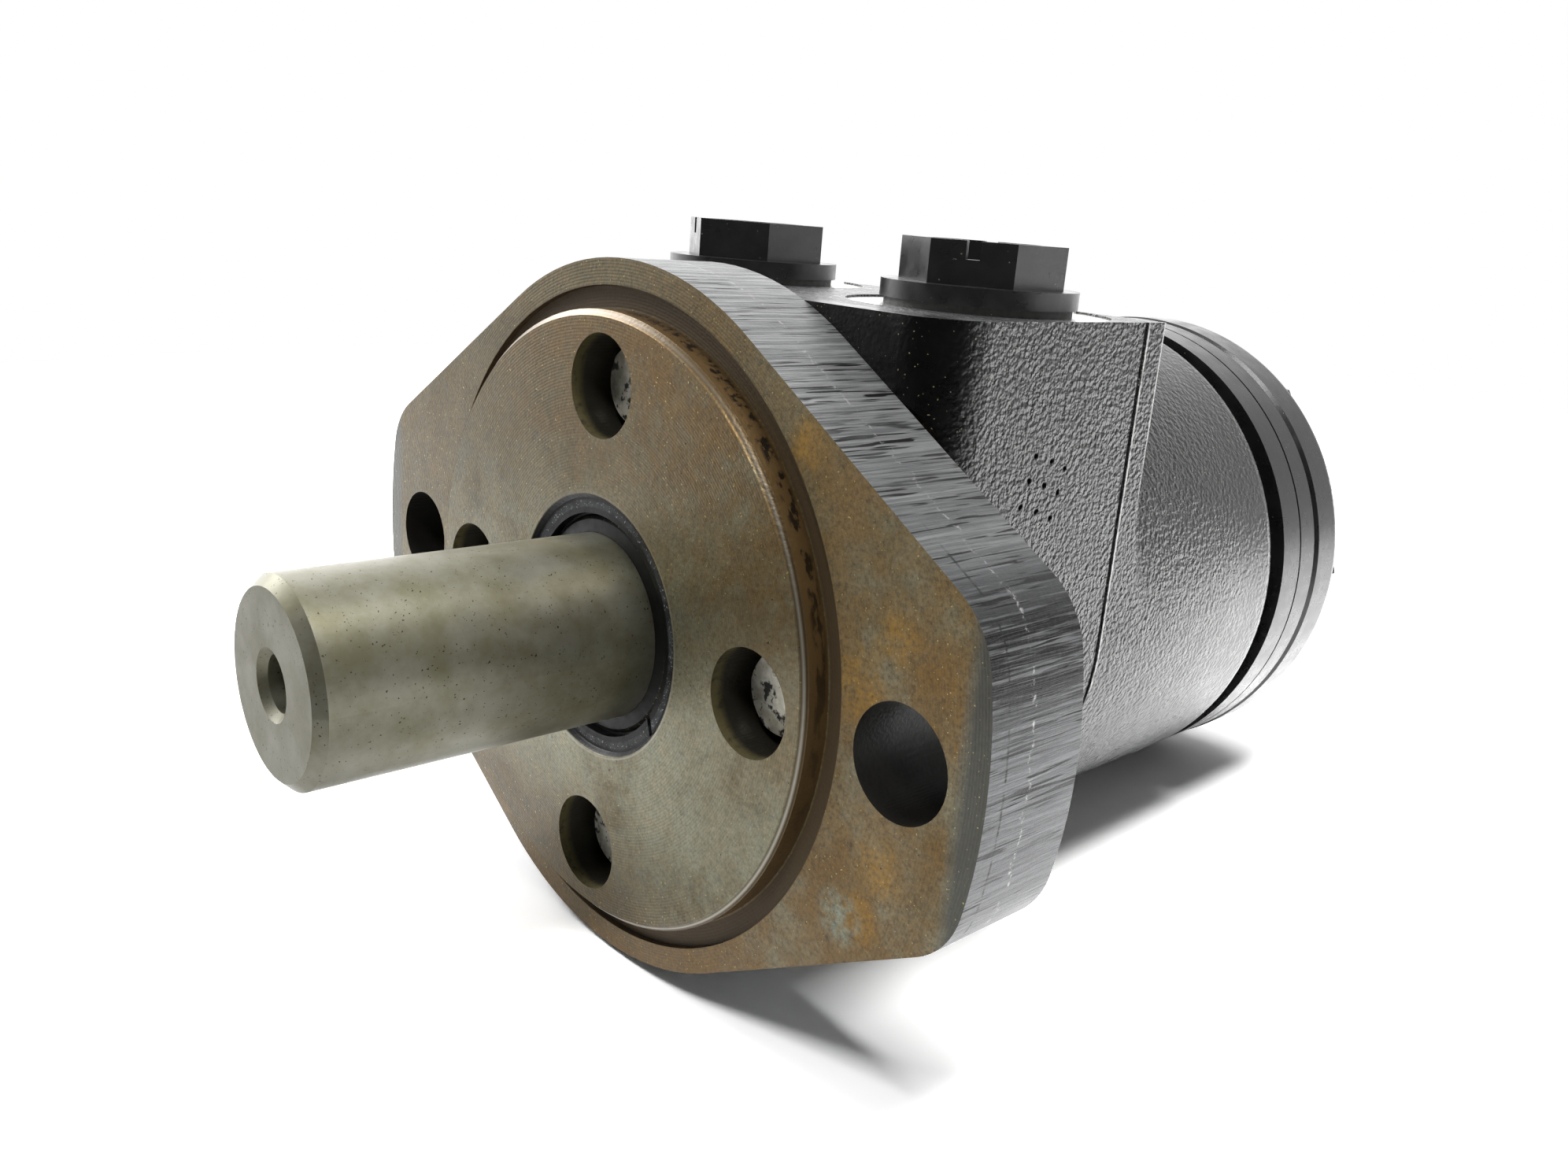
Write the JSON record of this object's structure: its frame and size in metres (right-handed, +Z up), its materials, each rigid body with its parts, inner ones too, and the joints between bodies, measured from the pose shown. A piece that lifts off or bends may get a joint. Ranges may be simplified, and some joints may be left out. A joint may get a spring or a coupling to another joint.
{
  "type": "orbital hydraulic motor",
  "caption": "Orbital hydraulic motor: two-bolt pilot flange, keyed parallel shaft, cast housing with plugged side ports, gear section and end cap.",
  "frame": {"origin": "on the shaft axis, in the plane of the flange mounting face", "axes": "+X along the line of the two mounting bolts, -Y out along the shaft, +Z up out of the port face"},
  "size_m": [0.13, 0.176, 0.1005],
  "materials": {
    "flange_steel": "machined, oiled",
    "zinc_steel": "zinc plated",
    "seal_rubber": "smooth",
    "spring_steel": "oiled",
    "bearing_steel": "ground",
    "shaft_steel": "ground, oiled",
    "key_steel": "drawn",
    "cage_brass": "pressed",
    "housing_iron": "sand cast, grey-black",
    "plug_plastic": "moulded",
    "washer_rubber": "moulded",
    "link_steel": "hardened",
    "section_steel": "semi-gloss black",
    "rotor_steel": "lapped",
    "cap_iron": "semi-gloss black"
  },
  "bodies": {
    "body": {"mounting_flange": "flange_steel", "flange_screws": "zinc_steel", "flange_o_ring": "seal_rubber", "seal_retaining_ring": "spring_steel", "dust_seal": "seal_rubber", "shaft_seal": "seal_rubber", "seal_backup_ring": "bearing_steel", "thrust_race_front": "bearing_steel", "housing": "housing_iron", "port_plug_a": "plug_plastic", "port_plug_b": "plug_plastic", "port_seal_a": "washer_rubber", "port_seal_b": "washer_rubber", "spacer_plate": "section_steel", "spacer_o_ring": "seal_rubber", "gerotor_ring": "section_steel", "ring_o_ring": "seal_rubber", "end_cap": "cap_iron", "cap_o_ring": "seal_rubber", "end_cap_screws": "zinc_steel"},
    "shaft": {"output_shaft": "shaft_steel", "shaft_key": "key_steel", "thrust_race_rear": "bearing_steel", "drive_link_front": "link_steel"},
    "bearing_cage": {"needle_cage": "cage_brass", "thrust_needles": "bearing_steel"},
    "drive_link": {"drive_link_shank": "link_steel"},
    "rotor": {"gerotor_rotor": "rotor_steel", "drive_link_rear": "link_steel"}
  },
  "joints": [
    {"name": "shaft_turn", "type": "hinge", "parent": "body", "child": "shaft", "pos_m": [0, 0, 0], "axis": [0, 1, 0], "continuous": true},
    {"name": "cage_turn", "type": "hinge", "parent": "body", "child": "bearing_cage", "pos_m": [0, 0.01703, 0], "axis": [0, 1, 0], "continuous": true},
    {"name": "link_orbit", "type": "hinge", "parent": "body", "child": "drive_link", "pos_m": [0, 0.1156, 0], "axis": [0, 1, 0], "continuous": true},
    {"name": "rotor_turn", "type": "hinge", "parent": "drive_link", "child": "rotor", "pos_m": [0.0027, 0.1156, 0], "axis": [0, 1, 0], "continuous": true}
  ],
  "couplings": [
    {"joint": "cage_turn", "follows": "shaft_turn", "ratio": 0.5},
    {"joint": "link_orbit", "follows": "shaft_turn", "ratio": -6},
    {"joint": "rotor_turn", "follows": "shaft_turn", "ratio": 7}
  ]
}
